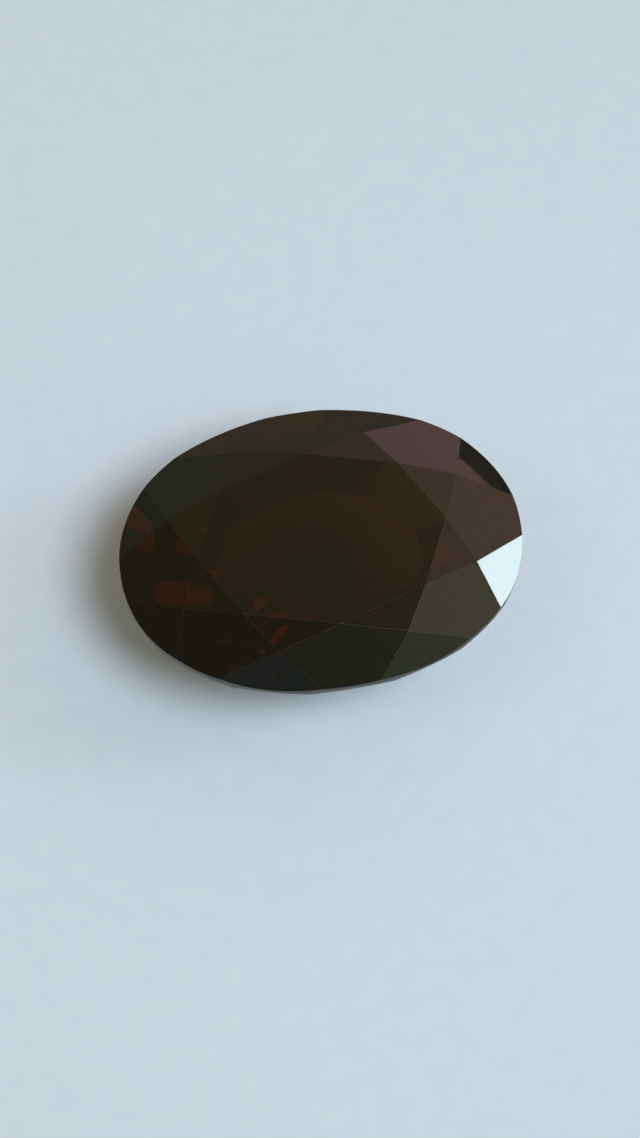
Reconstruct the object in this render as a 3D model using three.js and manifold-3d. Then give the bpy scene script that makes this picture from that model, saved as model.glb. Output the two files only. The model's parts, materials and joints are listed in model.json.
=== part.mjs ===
// An oval almandine garnet in a mixed cut: a brilliant crown over a step-cut pavilion.
// Millimetres, +Z up. It stands table up on its culet, the small flat at the very bottom.
// The origin is the middle of the culet. +X runs along the stone and +Y across it.

import * as THREE from 'three';
import { mergeVertices } from 'three/addons/utils/BufferGeometryUtils.js';
import Module from 'manifold-3d';

// Girdle outline: a superellipse, a little squarer than an ellipse
const length = 22.0;
const width = 16.2;
const outlinePower = 2.12;
const girdleSides = 96;

// Heights, stacked from the culet up
const pavilionDepth = 7.3;
const girdleThickness = 0.75;
const crownHeight = 1.4;

// Crown: a table, with a star, a main and a girdle facet for each of its corners
const crownFolds = 8;
const tableShare = 0.62;
const starTipShare = 0.785;
const mainTipAngle = 15;

// Pavilion: rings of step facets, each ring ending at a share of the outline and of the depth
const pavilionSides = 16;
const pavilionRings = [
  { share: 1, depthShare: 0 },
  { share: 0.8, depthShare: 0.37 },
  { share: 0.52, depthShare: 0.72 },
  { share: 0.17, depthShare: 1 },
];

// The cutter set every facet a little past the outline's long axis
const cuttingTurn = 2;

// The girdle stands between these two heights, and the table lies on top
const girdleBottom = pavilionDepth;
const girdleTop = girdleBottom + girdleThickness;
const tableHeight = girdleTop + crownHeight;

// A block far larger than the stone, and a point that every cut leaves inside it
const blockSize = 3 * length;
const heart = new THREE.Vector3(0, 0, girdleBottom);

const wasm = await Module();
wasm.setup();

// A point of the outline, drawn in to a share of the full size. Degrees count from the first crown main.
function outlinePoint(degrees, height, share = 1) {
  const angle = THREE.MathUtils.degToRad(degrees + cuttingTurn);
  const bend = (value) => Math.sign(value) * Math.abs(value) ** (2 / outlinePower);
  return new THREE.Vector3(
    share * (length / 2) * bend(Math.cos(angle)),
    share * (width / 2) * bend(Math.sin(angle)),
    height,
  );
}

// A closed geometry as a solid that can be cut.
function solidFrom(geometry) {
  geometry.deleteAttribute('normal');
  geometry.deleteAttribute('uv');
  const merged = mergeVertices(geometry);
  return new wasm.Manifold(
    new wasm.Mesh({
      numProp: 3,
      vertProperties: merged.attributes.position.array,
      triVerts: new Uint32Array(merged.index.array),
    }),
  );
}

// A solid as a flat-shaded geometry.
function geometryFrom(solid) {
  const mesh = solid.getMesh();
  const indexed = new THREE.BufferGeometry();
  indexed.setAttribute('position', new THREE.BufferAttribute(mesh.vertProperties, mesh.numProp));
  indexed.setIndex(new THREE.BufferAttribute(mesh.triVerts, 1));
  const geometry = indexed.toNonIndexed();
  geometry.computeVertexNormals();
  return geometry;
}

// The plane through three points of a facet, facing out of the stone.
function facetPlane(a, b, c) {
  const plane = new THREE.Plane().setFromCoplanarPoints(a, b, c);
  return plane.distanceToPoint(heart) > 0 ? plane.negate() : plane;
}

// The upright plane that crosses a point of the outline squarely to its direction from the middle.
function uprightPlane(point) {
  const outward = new THREE.Vector3(point.x, point.y, 0).normalize();
  return new THREE.Plane().setFromNormalAndCoplanarPoint(outward, point);
}

// The one point where three planes meet.
function meetPoint(p, q, r) {
  const qr = new THREE.Vector3().crossVectors(q.normal, r.normal);
  const rp = new THREE.Vector3().crossVectors(r.normal, p.normal);
  const pq = new THREE.Vector3().crossVectors(p.normal, q.normal);
  const scale = -1 / p.normal.dot(qr);
  return qr.multiplyScalar(p.constant).addScaledVector(rp, q.constant).addScaledVector(pq, r.constant)
    .multiplyScalar(scale);
}

// The preform: an upright oval bar from the culet to the table.
function preform() {
  const corners = [];
  for (let side = 0; side < girdleSides; side += 1) {
    const point = outlinePoint((side * 360) / girdleSides, 0);
    corners.push(new THREE.Vector2(point.x, point.y));
  }
  const options = { depth: tableHeight, bevelEnabled: false };
  return solidFrom(new THREE.ExtrudeGeometry(new THREE.Shape(corners), options));
}

// The crown's facets: mains first, because the stars and girdle facets meet on their edges.
function crownPlanes() {
  const fold = 360 / crownFolds;
  const halfTip = mainTipAngle / 2;
  const corner = (i) => outlinePoint(i * fold, tableHeight, tableShare);
  const mainStart = (i) => outlinePoint(i * fold - halfTip, girdleTop);
  const mainEnd = (i) => outlinePoint(i * fold + halfTip, girdleTop);
  const main = (i) => facetPlane(corner(i), mainStart(i), mainEnd(i));

  const planes = [];
  for (let i = 0; i < crownFolds; i += 1) {
    const reach = uprightPlane(outlinePoint((i + 0.5) * fold, girdleTop, starTipShare));
    const starTip = meetPoint(main(i), main(i + 1), reach);
    planes.push(main(i));
    planes.push(facetPlane(corner(i), corner(i + 1), starTip));
    planes.push(facetPlane(starTip, mainEnd(i), mainStart(i + 1)));
  }
  return planes;
}

// The pavilion's facets: ring under ring, each less steep than the one above it.
function pavilionPlanes() {
  const fold = 360 / pavilionSides;
  const planes = [];
  for (let ring = 1; ring < pavilionRings.length; ring += 1) {
    const upper = pavilionRings[ring - 1];
    const lower = pavilionRings[ring];
    const upperHeight = pavilionDepth * (1 - upper.depthShare);
    const lowerHeight = pavilionDepth * (1 - lower.depthShare);
    for (let i = 0; i < pavilionSides; i += 1) {
      const start = (i - 0.5) * fold;
      const end = (i + 0.5) * fold;
      planes.push(
        facetPlane(
          outlinePoint(start, upperHeight, upper.share),
          outlinePoint(end, upperHeight, upper.share),
          outlinePoint(start, lowerHeight, lower.share),
        ),
      );
    }
  }
  return planes;
}

// Everything on the outer side of a facet's plane, as one block to grind away.
function waste(plane) {
  const block = new THREE.BoxGeometry(blockSize, blockSize, blockSize);
  block.translate(0, 0, blockSize / 2);
  const up = new THREE.Vector3(0, 0, 1);
  block.applyQuaternion(new THREE.Quaternion().setFromUnitVectors(up, plane.normal));
  const foot = plane.coplanarPoint(new THREE.Vector3());
  block.translate(foot.x, foot.y, foot.z);
  return solidFrom(block);
}

// The stone: the preform, ground down facet by facet.
function makeGarnet() {
  const facets = [...crownPlanes(), ...pavilionPlanes()];
  const stone = facets.reduce((solid, plane) => solid.subtract(waste(plane)), preform());
  const material = new THREE.MeshStandardMaterial({ color: 0x2c1a10, roughness: 0.05, metalness: 0 });
  const mesh = new THREE.Mesh(geometryFrom(stone), material);
  mesh.name = 'garnet';
  return mesh;
}

const part = new THREE.Group();
part.add(makeGarnet());

export default part;
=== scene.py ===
"""Looks of a cut almandine garnet that stands table up on a pale surface in soft light.

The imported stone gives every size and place. The polished piece made here is that same stone
with its facet edges very slightly worn, as those of a handled gem are.
"""

from __future__ import annotations

import json
import logging
import math
from dataclasses import dataclass, field
from enum import Enum

import bmesh
import bpy
from mathutils import Matrix, Vector

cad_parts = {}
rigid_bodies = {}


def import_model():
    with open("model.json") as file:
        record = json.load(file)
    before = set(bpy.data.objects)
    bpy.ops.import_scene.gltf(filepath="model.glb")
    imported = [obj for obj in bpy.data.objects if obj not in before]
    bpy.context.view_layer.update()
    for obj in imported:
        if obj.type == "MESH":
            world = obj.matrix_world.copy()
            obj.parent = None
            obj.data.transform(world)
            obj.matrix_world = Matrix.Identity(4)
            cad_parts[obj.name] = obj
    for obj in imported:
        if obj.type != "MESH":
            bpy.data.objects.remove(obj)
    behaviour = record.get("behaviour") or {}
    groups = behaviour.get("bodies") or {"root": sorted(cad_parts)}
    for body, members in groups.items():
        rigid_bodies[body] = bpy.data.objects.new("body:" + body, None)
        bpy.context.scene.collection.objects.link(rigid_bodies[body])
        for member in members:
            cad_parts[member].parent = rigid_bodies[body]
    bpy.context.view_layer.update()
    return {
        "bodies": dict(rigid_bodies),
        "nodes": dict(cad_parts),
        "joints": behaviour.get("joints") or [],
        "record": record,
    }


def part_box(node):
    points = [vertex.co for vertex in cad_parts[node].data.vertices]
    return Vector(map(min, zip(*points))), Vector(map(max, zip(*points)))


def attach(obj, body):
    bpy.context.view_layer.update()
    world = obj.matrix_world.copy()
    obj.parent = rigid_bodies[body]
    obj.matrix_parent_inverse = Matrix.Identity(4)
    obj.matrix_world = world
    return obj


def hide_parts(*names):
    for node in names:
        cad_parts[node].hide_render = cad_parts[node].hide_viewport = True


LOG = logging.getLogger("garnet")
MM = 0.001
PICTURE_WIDTH, PICTURE_HEIGHT = 640, 1138

Colour = tuple[float, float, float, float]
Socket = bpy.types.NodeSocket
Given = float | Colour | Vector | Socket


def screen_colour(red: int, green: int, blue: int) -> Colour:
    """Turns a colour as a screen shows it into the linear values that shaders take.

    Args:
        red: The red channel, 0 to 255.
        green: The green channel, 0 to 255.
        blue: The blue channel, 0 to 255.

    Returns:
        The linear colour with full alpha.
    """

    def linear(channel: int) -> float:
        """Undoes the screen's curve for one channel."""
        value = channel / 255
        return value / 12.92 if value <= 0.04045 else ((value + 0.055) / 1.055) ** 2.4

    return (linear(red), linear(green), linear(blue), 1.0)


def direction(azimuth: float, elevation: float) -> Vector:
    """Points away from the stone.

    Args:
        azimuth: Degrees round the stone: 0 is towards -Y and 90 towards +X.
        elevation: Degrees above the horizon.

    Returns:
        A vector of length 1.
    """
    around, above = math.radians(azimuth), math.radians(elevation)
    level = math.cos(above)
    return Vector((math.sin(around) * level, -math.cos(around) * level, math.sin(above)))


def set_down(
    name: str, shape: bmesh.types.BMesh, material: bpy.types.Material
) -> bpy.types.Object:
    """Turns a finished shape into an object at the origin and puts it in the scene.

    Args:
        name: The name of the object and of its mesh.
        shape: The shape, which is used up.
        material: What the object is made of.

    Returns:
        The object.
    """
    mesh = bpy.data.meshes.new(name)
    shape.to_mesh(mesh)
    shape.free()
    mesh.materials.append(material)
    piece = bpy.data.objects.new(name, mesh)
    bpy.context.scene.collection.objects.link(piece)
    LOG.info("%s: %d faces", name, len(mesh.polygons))
    return piece


class Mix(Enum):
    """The ways of mixing used here, by Blender's names for the values, the blend and the sockets."""

    NUMBERS = ("FLOAT", "MIX", "Float")
    COLOURS = ("RGBA", "MIX", "Color")
    LIGHTS = ("RGBA", "ADD", "Color")


class NodeBench:
    """Places nodes in one node tree and wires them."""

    def __init__(self, tree: bpy.types.NodeTree) -> None:
        """Takes the tree to work on."""
        self.tree = tree

    @classmethod
    def cleared(cls, owner: bpy.types.Material | bpy.types.World) -> NodeBench:
        """Starts on a material or a world, with none of the nodes that Blender gives it.

        Args:
            owner: The material or world.

        Returns:
            The bench for its node tree.
        """
        owner.use_nodes = True
        owner.node_tree.nodes.clear()
        return cls(owner.node_tree)

    def add(self, kind: str, **inputs: Given) -> bpy.types.Node:
        """Adds a node and sets or links its inputs.

        Args:
            kind: The node's type name.
            inputs: A value or an output socket for each input, with _ for each space in its name.

        Returns:
            The new node.
        """
        node = self.tree.nodes.new(kind)
        for name, value in inputs.items():
            self.feed(node.inputs[name.replace("_", " ")], value)
        return node

    def feed(self, socket: Socket, value: Given) -> None:
        """Gives an input socket a plain value or a link.

        Args:
            socket: The input socket.
            value: The value, or the output socket to link from.
        """
        if isinstance(value, Socket):
            self.tree.links.new(value, socket)
        else:
            socket.default_value = value

    def mix(self, way: Mix, share: Given, first: Given, second: Given) -> Socket:
        """Mixes two numbers or colours, or adds one light to another.

        Args:
            way: What is mixed, and how.
            share: How much of the second one comes in, 0 to 1.
            first: What shows where the share is 0.
            second: What comes in as the share rises.

        Returns:
            The socket with the result.
        """
        node = self.add("ShaderNodeMix")
        node.data_type, node.blend_type, values = way.value
        inputs = {socket.identifier: socket for socket in node.inputs}
        outputs = {socket.identifier: socket for socket in node.outputs}
        self.feed(inputs["Factor_Float"], share)
        self.feed(inputs[f"A_{values}"], first)
        self.feed(inputs[f"B_{values}"], second)
        return outputs[f"Result_{values}"]

    def fade_in(self, value: Socket, start: float, end: float) -> Socket:
        """Rises gently from 0 to 1 with a value.

        Args:
            value: The socket with the value.
            start: The value at which the rise starts.
            end: The value at which it ends.

        Returns:
            The socket with the share, 0 to 1.
        """
        rise = self.add("ShaderNodeMapRange", Value=value, From_Min=start, From_Max=end)
        rise.interpolation_type = "SMOOTHSTEP"
        return rise.outputs["Result"]


class GrainGroup:
    """A fine relief and an uneven mask, which each finish uses at its own scale."""

    NAME = "surface_grain"

    @classmethod
    def tree(cls) -> bpy.types.NodeTree:
        """Returns the group, and builds it the first time."""
        return bpy.data.node_groups.get(cls.NAME) or cls._build()

    @classmethod
    def _build(cls) -> bpy.types.NodeTree:
        """Makes the group's sockets and nodes.

        Returns:
            The group.
        """
        tree = bpy.data.node_groups.new(cls.NAME, "ShaderNodeTree")
        sockets = tree.interface
        sockets.new_socket("Place", in_out="INPUT", socket_type="NodeSocketVector")
        sockets.new_socket("Scale", in_out="INPUT", socket_type="NodeSocketFloat")
        sockets.new_socket("Detail", in_out="INPUT", socket_type="NodeSocketFloat")
        sockets.new_socket("Depth", in_out="INPUT", socket_type="NodeSocketFloat")
        sockets.new_socket("Mask", in_out="OUTPUT", socket_type="NodeSocketFloat")
        sockets.new_socket("Normal", in_out="OUTPUT", socket_type="NodeSocketVector")
        bench = NodeBench(tree)
        given = bench.add("NodeGroupInput").outputs
        noise = bench.add(
            "ShaderNodeTexNoise",
            Vector=given["Place"],
            Scale=given["Scale"],
            Detail=given["Detail"],
        )
        bump = bench.add(
            "ShaderNodeBump",
            Strength=1.0,
            Distance=given["Depth"],
            Height=noise.outputs["Fac"],
        )
        bench.add("NodeGroupOutput", Mask=noise.outputs["Fac"], Normal=bump.outputs["Normal"])
        return tree

    @classmethod
    def place(cls, bench: NodeBench, **inputs: Given) -> bpy.types.Node:
        """Puts the group in a material.

        Args:
            bench: The material's bench.
            inputs: A value or link for each of the group's inputs.

        Returns:
            The group node.
        """
        node = bench.add("ShaderNodeGroup")
        node.node_tree = cls.tree()
        for name, value in inputs.items():
            bench.feed(node.inputs[name], value)
        return node


class Mark(Enum):
    """The mesh attributes that tell the finish where the stone isn't freshly polished."""

    FROSTED = "frosted"
    WORN = "worn"


@dataclass(frozen=True)
class AlmandineFinish:
    """Clear crystal, brownish red through and through, polished but for its frosted girdle.

    Light takes one of two close tints as it crosses a facet, because a natural crystal is zoned.
    It takes the body's colour over its way through the stone.
    """

    name: str = "almandine"
    refractive_index: float = 1.79
    light_tint: Colour = screen_colour(170, 140, 89)
    dark_tint: Colour = screen_colour(153, 121, 73)
    body_colour: Colour = (0.63, 0.44, 0.08, 1.0)
    body_density: float = 580.0
    polished_roughness: float = 0.012
    smudged_roughness: float = 0.06
    frosted_roughness: float = 0.42
    worn_roughness: float = 0.5
    zoning_scale: float = 130.0
    zoning_detail: float = 3.0
    smudges_from: float = 0.45
    smudges_full: float = 0.8
    polish_scale: float = 2600.0
    polish_detail: float = 4.0
    polish_depth: float = 0.0002 * MM

    def material(self) -> bpy.types.Material:
        """Builds the material.

        Returns:
            A see-through material with the stone's colour in its volume.
        """
        material = bpy.data.materials.new(self.name)
        bench = NodeBench.cleared(material)
        place = bench.add("ShaderNodeTexCoord").outputs["Object"]
        zoning = GrainGroup.place(
            bench, Place=place, Scale=self.zoning_scale, Detail=self.zoning_detail
        )
        polish = GrainGroup.place(
            bench,
            Place=place,
            Scale=self.polish_scale,
            Detail=self.polish_detail,
            Depth=self.polish_depth,
        )
        zones = zoning.outputs["Mask"]
        surface = bench.add(
            "ShaderNodeBsdfPrincipled",
            Base_Color=bench.mix(Mix.COLOURS, zones, self.light_tint, self.dark_tint),
            Roughness=self._roughness(bench, zones),
            IOR=self.refractive_index,
            Transmission_Weight=1.0,
            Normal=polish.outputs["Normal"],
        )
        body = bench.add(
            "ShaderNodeVolumeAbsorption", Color=self.body_colour, Density=self.body_density
        )
        bench.add(
            "ShaderNodeOutputMaterial",
            Surface=surface.outputs["BSDF"],
            Volume=body.outputs["Volume"],
        )
        return material

    def _roughness(self, bench: NodeBench, zones: Socket) -> Socket:
        """Adds handling smudges, the worn edges and the frosted girdle over the polish.

        Args:
            bench: The material's bench.
            zones: A mask that changes slowly over the surface.

        Returns:
            The socket with the roughness.
        """
        smudged = bench.add(
            "ShaderNodeMapRange",
            Value=zones,
            From_Min=self.smudges_from,
            From_Max=self.smudges_full,
            To_Min=self.polished_roughness,
            To_Max=self.smudged_roughness,
        )
        roughness = smudged.outputs["Result"]
        marks = {Mark.WORN: self.worn_roughness, Mark.FROSTED: self.frosted_roughness}
        for mark, marked_roughness in marks.items():
            mask = bench.add("ShaderNodeAttribute")
            mask.attribute_name = mark.value
            roughness = bench.mix(Mix.NUMBERS, mask.outputs["Fac"], roughness, marked_roughness)
        return roughness


@dataclass(frozen=True)
class PaleMattFinish:
    """A pale matt surface with a soft grain, bluish round the stone, with painted shade that turns
    it darker and warmer far from it.
    """

    name: str = "pale_matt"
    light_tone: Colour = screen_colour(219, 232, 249)
    dark_tone: Colour = screen_colour(211, 225, 244)
    # painted shade: the floor's colour fades to this darker, warmer tone away from the stone, in
    # place of light that falls off
    painted_shade_tone: Colour = screen_colour(197, 193, 187)
    near_radius: float = 0.08
    far_radius: float = 0.55
    roughness: float = 0.9
    gloss: float = 0.1
    grain_scale: float = 700.0
    grain_detail: float = 5.0
    grain_depth: float = 0.04 * MM

    def material(self) -> bpy.types.Material:
        """Builds the material.

        Returns:
            A matt material whose tone changes with the distance from the origin.
        """
        material = bpy.data.materials.new(self.name)
        bench = NodeBench.cleared(material)
        place = bench.add("ShaderNodeTexCoord").outputs["Object"]
        grain = GrainGroup.place(
            bench,
            Place=place,
            Scale=self.grain_scale,
            Detail=self.grain_detail,
            Depth=self.grain_depth,
        )
        tone = bench.mix(Mix.COLOURS, grain.outputs["Mask"], self.dark_tone, self.light_tone)
        surface = bench.add(
            "ShaderNodeBsdfPrincipled",
            Base_Color=self._painted_falloff(bench, place, tone),
            Roughness=self.roughness,
            Specular_IOR_Level=self.gloss,
            Normal=grain.outputs["Normal"],
        )
        bench.add("ShaderNodeOutputMaterial", Surface=surface.outputs["BSDF"])
        return material

    def _painted_falloff(self, bench: NodeBench, place: Socket, tone: Socket) -> Socket:
        """Paints shade over the floor: turns the tone warmer and darker away from the stone, as
        light that falls off would.

        Args:
            bench: The material's bench.
            place: The place on the surface.
            tone: The colour round the stone.

        Returns:
            The socket with the colour everywhere.
        """
        reach = bench.add("ShaderNodeVectorMath")
        reach.operation = "LENGTH"
        bench.feed(reach.inputs[0], place)
        # painted shade: its share rises from near_radius to far_radius
        far = bench.fade_in(reach.outputs["Value"], self.near_radius, self.far_radius)
        return bench.mix(Mix.COLOURS, far, tone, self.painted_shade_tone)


@dataclass
class CutStone:
    """The garnet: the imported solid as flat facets, its edges worn by thousandths of a millimetre.

    Attributes:
        node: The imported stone's node.
        name: The name of the polished piece.
        merge_distance: How close two corners lie that are one.
        flat_within: The most that two triangles of one facet turn against each other.
        facet_turn: The least that two facets turn where the edge between them is worn.
        worn_width: How far the wear reaches from an edge over each facet.
        worn_steps: The narrow faces across each worn edge.
        girdle_lean: The most that a girdle face looks up or down, as a share of 1.
        finish: The crystal.
    """

    node: str = "garnet"
    name: str = "cut_garnet"
    merge_distance: float = 0.002 * MM
    flat_within: float = math.radians(1.0)
    facet_turn: float = math.radians(6.0)
    worn_width: float = 0.003 * MM
    worn_steps: int = 2
    girdle_lean: float = 0.05
    finish: AlmandineFinish = field(default_factory=AlmandineFinish)

    def build(self, frame: dict) -> bpy.types.Object:
        """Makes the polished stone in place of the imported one.


        Returns:
            The finished piece.
        """
        shape = bmesh.new()
        shape.from_mesh(frame["nodes"][self.node].data)
        self._join_facets(shape)
        self._wear_edges(shape)
        self._frost_girdle(shape)
        piece = set_down(self.name, shape, self.finish.material())
        self._drop_old_normals(piece.data)
        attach(piece, "root")
        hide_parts(self.node)
        return piece

    def _join_facets(self, shape: bmesh.types.BMesh) -> None:
        """Joins the loose triangles, so that each facet is one face that shades as flat.

        Args:
            shape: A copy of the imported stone.
        """
        bmesh.ops.remove_doubles(shape, verts=shape.verts, dist=self.merge_distance)
        bmesh.ops.dissolve_limit(
            shape,
            angle_limit=self.flat_within,
            use_dissolve_boundaries=False,
            verts=shape.verts,
            edges=shape.edges,
            delimit=set(),
        )
        for face in shape.faces:
            face.smooth = False

    def _wear_edges(self, shape: bmesh.types.BMesh) -> None:
        """Rounds every edge between two facets, and marks the narrow new faces as worn.

        Args:
            shape: The stone with its facets joined.
        """
        worn_layer = shape.faces.layers.float.new(Mark.WORN.value)
        sharp = [edge for edge in shape.edges if edge.calc_face_angle(0.0) > self.facet_turn]
        bevel = bmesh.ops.bevel(
            shape,
            geom=sharp,
            offset=self.worn_width,
            offset_type="OFFSET",
            affect="EDGES",
            segments=self.worn_steps,
            profile=0.5,
            clamp_overlap=True,
            material=-1,
        )
        for face in bevel["faces"]:
            face[worn_layer] = 1.0

    def _frost_girdle(self, shape: bmesh.types.BMesh) -> None:
        """Marks the upright girdle as frosted, and lets it shade as one round band.

        Args:
            shape: The stone with its edges worn.
        """
        frosted_layer = shape.faces.layers.float.new(Mark.FROSTED.value)
        worn_layer = shape.faces.layers.float[Mark.WORN.value]
        shape.normal_update()
        for face in shape.faces:
            if abs(face.normal.z) < self.girdle_lean:
                face[frosted_layer] = 1.0
                face[worn_layer] = 0.0
                face.smooth = True

    def _drop_old_normals(self, mesh: bpy.types.Mesh) -> None:
        """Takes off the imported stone's own shading, which would bend the new facets.

        Args:
            mesh: The finished stone's mesh.
        """
        old = mesh.attributes.get("custom_normal")
        if old:
            mesh.attributes.remove(old)


@dataclass
class PaleSweep:
    """A round floor that curves up into a wall, so that every view has a pale ground behind it."""

    name: str = "pale_sweep"
    floor_radius: float = 0.55
    cove_radius: float = 0.15
    wall_height: float = 0.05
    cove_steps: int = 10
    turns: int = 96
    merge_distance: float = 0.01 * MM
    finish: PaleMattFinish = field(default_factory=PaleMattFinish)

    def build(self) -> bpy.types.Object:
        """Makes the sweep by spinning its profile about the stone.

        Returns:
            The backdrop, which isn't part of the stone.
        """
        shape = bmesh.new()
        profile = [shape.verts.new(point) for point in self._profile()]
        edges = [shape.edges.new(pair) for pair in zip(profile, profile[1:])]
        bmesh.ops.spin(
            shape,
            geom=profile + edges,
            cent=(0, 0, 0),
            axis=(0, 0, 1),
            angle=math.tau,
            steps=self.turns,
            use_merge=True,
        )
        bmesh.ops.remove_doubles(shape, verts=shape.verts, dist=self.merge_distance)
        bmesh.ops.recalc_face_normals(shape, faces=shape.faces)
        for face in shape.faces:
            face.smooth = True
        sweep = set_down(self.name, shape, self.finish.material())
        return sweep

    def _profile(self) -> list[Vector]:
        """Draws half a section through the sweep.

        Returns:
            The points from the middle of the floor to the top of the wall.
        """
        points = [Vector((0, 0, 0)), Vector((self.floor_radius, 0, 0))]
        for step in range(1, self.cove_steps + 1):
            angle = math.pi / 2 * step / self.cove_steps
            out = self.floor_radius + self.cove_radius * math.sin(angle)
            up = self.cove_radius * (1 - math.cos(angle))
            points.append(Vector((out, 0, up)))
        points.append(points[-1] + Vector((0, 0, self.wall_height)))
        return points


class LampShape(Enum):
    """The shapes of a lamp's face used here, by Blender's names."""

    ROUND = "DISK"
    SQUARE = "SQUARE"


@dataclass(frozen=True)
class Lamp:
    """A soft lamp that faces the stone.

    Attributes:
        name: The lamp's name.
        azimuth: Degrees round the stone, as direction() takes them.
        elevation: Degrees above the horizon.
        distance: Metres from the middle of the stone.
        width: The width of the lamp's face in metres.
        radiance: How bright the face looks from the stone.
        colour: The light's colour.
        shape: The shape of the face.
        spread: The angle that the light spreads over, in degrees. 180 doesn't narrow it.
    """

    name: str
    azimuth: float
    elevation: float
    distance: float
    width: float
    radiance: float
    colour: Colour
    shape: LampShape = LampShape.ROUND
    spread: float = 180.0

    def build(self, target: Vector) -> bpy.types.Object:
        """Hangs the lamp.

        Args:
            target: The point that it faces.

        Returns:
            The lamp.
        """
        light = bpy.data.lights.new(self.name, "AREA")
        light.shape = self.shape.value
        light.size = self.width
        light.color = self.colour[:3]
        light.spread = math.radians(self.spread)
        light.energy = self.radiance * math.pi * self._area() / self._gain()
        lamp = bpy.data.objects.new(self.name, light)
        away = direction(self.azimuth, self.elevation)
        lamp.location = target + away * self.distance
        lamp.rotation_euler = (-away).to_track_quat("-Z", "Y").to_euler()
        bpy.context.scene.collection.objects.link(lamp)
        LOG.info("%s: %.3f W", self.name, light.energy)
        return lamp

    def _gain(self) -> float:
        """Returns how much brighter the narrowed beam makes the lamp along its axis."""
        half = math.radians(self.spread) / 2
        return math.tan(half) / (math.tan(half) - half)

    def _area(self) -> float:
        """Returns the area of the lamp's face in square metres."""
        square = self.width**2
        return square * math.pi / 4 if self.shape is LampShape.ROUND else square


@dataclass(frozen=True)
class RoomSide:
    """A side of the room that is lighter than the rest, and fades out round its middle.

    Attributes:
        azimuth: Degrees round the stone to its middle, as direction() takes them.
        elevation: Degrees above the horizon to its middle.
        edge: The cosine of the angle from its middle at which its light ends.
        full: The cosine of the angle from its middle within which its light is full.
        colour: The light that it adds to the room's.
    """

    azimuth: float
    elevation: float
    edge: float
    full: float
    colour: Colour

    def share(self, bench: NodeBench, view: Socket) -> Socket:
        """Works out how strongly this side shows in each direction.

        Args:
            bench: The world's bench.
            view: The direction looked in.

        Returns:
            The socket with the share, 0 to 1.
        """
        facing = bench.add("ShaderNodeVectorMath")
        facing.operation = "DOT_PRODUCT"
        bench.feed(facing.inputs[0], view)
        bench.feed(facing.inputs[1], direction(self.azimuth, self.elevation))
        return bench.fade_in(facing.outputs["Value"], self.edge, self.full)


@dataclass(frozen=True)
class DimRoom:
    """The room round the lamps, which the facets mirror.

    It is dim and brown. Its right side, the first one, is the lightest. The others are small
    and faint, each with a tint of its own.
    """

    name: str = "dim_room"
    dimness: Colour = (0.135, 0.115, 0.06, 1.0)
    sides: tuple[RoomSide, ...] = (
        RoomSide(azimuth=105, elevation=5, edge=0.1, full=0.85, colour=(0.57, 0.38, 0.31, 1.0)),
        RoomSide(azimuth=170, elevation=66, edge=0.8, full=0.98, colour=(0.045, 0.03, 0.015, 1.0)),
        RoomSide(azimuth=52, elevation=32, edge=0.7, full=0.93, colour=(0.11, 0.22, 0.13, 1.0)),
        RoomSide(azimuth=153, elevation=24, edge=0.92, full=0.99, colour=(0.22, 0.10, 0.19, 1.0)),
        RoomSide(azimuth=-158, elevation=45, edge=0.88, full=0.97, colour=(0.07, 0.05, 0.02, 1.0)),
        RoomSide(azimuth=-17, elevation=42, edge=0.93, full=0.99, colour=(0.01, 0.06, 0.09, 1.0)),
        RoomSide(azimuth=-160, elevation=23, edge=0.85, full=0.97, colour=(0.03, 0.07, 0.06, 1.0)),
    )

    def build(self) -> bpy.types.World:
        """Makes the world and gives it to the scene.

        Returns:
            The world.
        """
        world = bpy.data.worlds.new(self.name)
        bench = NodeBench.cleared(world)
        view = bench.add("ShaderNodeTexCoord").outputs["Generated"]
        light = self.dimness
        for side in self.sides:
            light = bench.mix(Mix.LIGHTS, side.share(bench, view), light, side.colour)
        room = bench.add("ShaderNodeBackground", Color=light)
        bench.add("ShaderNodeOutputWorld", Surface=room.outputs["Background"])
        bpy.context.scene.world = world
        LOG.info("%s: %d lighter sides", self.name, len(self.sides))
        return world


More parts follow.
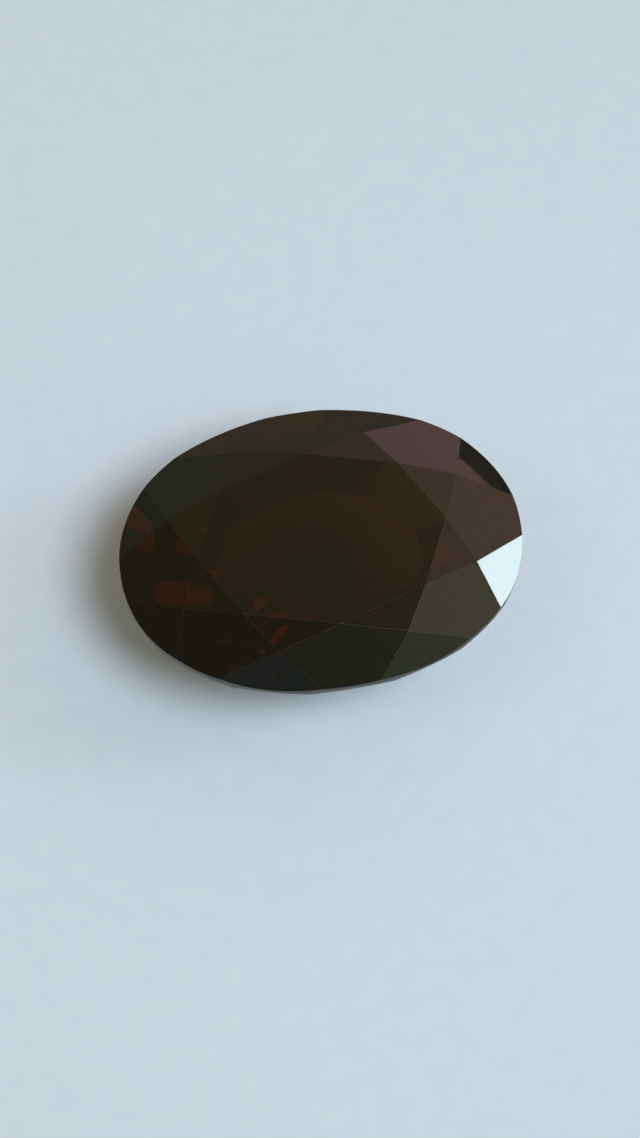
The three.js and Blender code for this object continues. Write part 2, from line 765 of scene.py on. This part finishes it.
@dataclass
class Studio:
    """The light on the stone.

    The key lamp is large and far, and the pool lamp before it lights the floor round the stone.
    The fill lamp on the left is weak. The window lamp shows as a white reflection in one facet.
    """

    room: DimRoom = field(default_factory=DimRoom)
    lamps: tuple[Lamp, ...] = (
        Lamp(
            name="key_lamp",
            azimuth=43,
            elevation=66,
            distance=1.50,
            width=0.66,
            radiance=5.6,
            colour=(0.97, 0.95, 0.93, 1.0),
        ),
        Lamp(
            name="pool_lamp",
            azimuth=43,
            elevation=66,
            distance=0.40,
            width=0.165,
            radiance=12.4,
            colour=(0.72, 0.85, 0.96, 1.0),
            spread=50,
        ),
        Lamp(
            name="fill_lamp",
            azimuth=-84,
            elevation=59,
            distance=0.40,
            width=0.14,
            radiance=2.2,
            colour=(0.96, 0.95, 0.74, 1.0),
            spread=90,
        ),
        Lamp(
            name="window_lamp",
            azimuth=90,
            elevation=33.6,
            distance=0.35,
            width=0.07,
            radiance=11.0,
            colour=(0.74, 0.94, 1.0, 1.0),
            shape=LampShape.SQUARE,
            spread=60,
        ),
    )

    def build(self, target: Vector) -> None:
        """Sets the lamps and the room.

        Args:
            target: The middle of the stone.
        """
        for lamp in self.lamps:
            lamp.build(target)
        self.room.build()
        bpy.context.scene.view_settings.view_transform = "Standard"


@dataclass
class PhotoCamera:
    """A camera that sees the stone from the photograph's side and distance, framed more closely.

    Attributes:
        name: The camera's name.
        azimuth: Degrees round the stone, as direction() takes them.
        elevation: Degrees above the horizon.
        roll: Degrees that the camera is turned about its line of sight.
        distance: Metres from the middle of the stone.
        share_of_width: The stone's length as a share of the picture's width.
        sensor: The sensor's longer side in millimetres.
        nearest: Metres to the nearest thing that shows.
        farthest: Metres to the farthest thing that shows.
    """

    name: str = "photo_camera"
    azimuth: float = -12.0
    elevation: float = 69.0
    roll: float = -3.4
    distance: float = 0.159
    share_of_width: float = 0.62
    sensor: float = 36.0
    nearest: float = 0.01
    farthest: float = 5.0

    def build(self, target: Vector, length: float) -> bpy.types.Object:
        """Makes the scene's camera.

        Args:
            target: The point in the middle of the picture.
            length: The stone's length, which sets the lens.

        Returns:
            The camera.
        """
        camera = bpy.data.cameras.new(self.name)
        camera.sensor_width = self.sensor
        share_of_height = self.share_of_width * PICTURE_WIDTH / PICTURE_HEIGHT
        camera.lens = share_of_height * self.sensor * self.distance / length
        camera.clip_start = self.nearest
        camera.clip_end = self.farthest
        holder = bpy.data.objects.new(self.name, camera)
        away = direction(self.azimuth, self.elevation)
        level = (-away).to_track_quat("-Z", "Y").to_matrix().to_4x4()
        roll = Matrix.Rotation(math.radians(-self.roll), 4, "Z")
        holder.matrix_world = Matrix.Translation(target + away * self.distance) @ level @ roll
        bpy.context.scene.collection.objects.link(holder)
        bpy.context.scene.camera = holder
        LOG.info("%s: %.0f mm lens", self.name, camera.lens)
        return holder


def main() -> None:
    """Builds the stone, what it stands on, the light and the camera, whose lens is set from the
    stone's size.
    """
    logging.basicConfig(level=logging.INFO)
    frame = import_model()
    low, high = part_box("garnet")
    middle = (low + high) / 2
    CutStone().build(frame)
    PaleSweep().build()
    Studio().build(middle)
    PhotoCamera().build(middle, high.x - low.x)


if __name__ == "__main__":
    main()
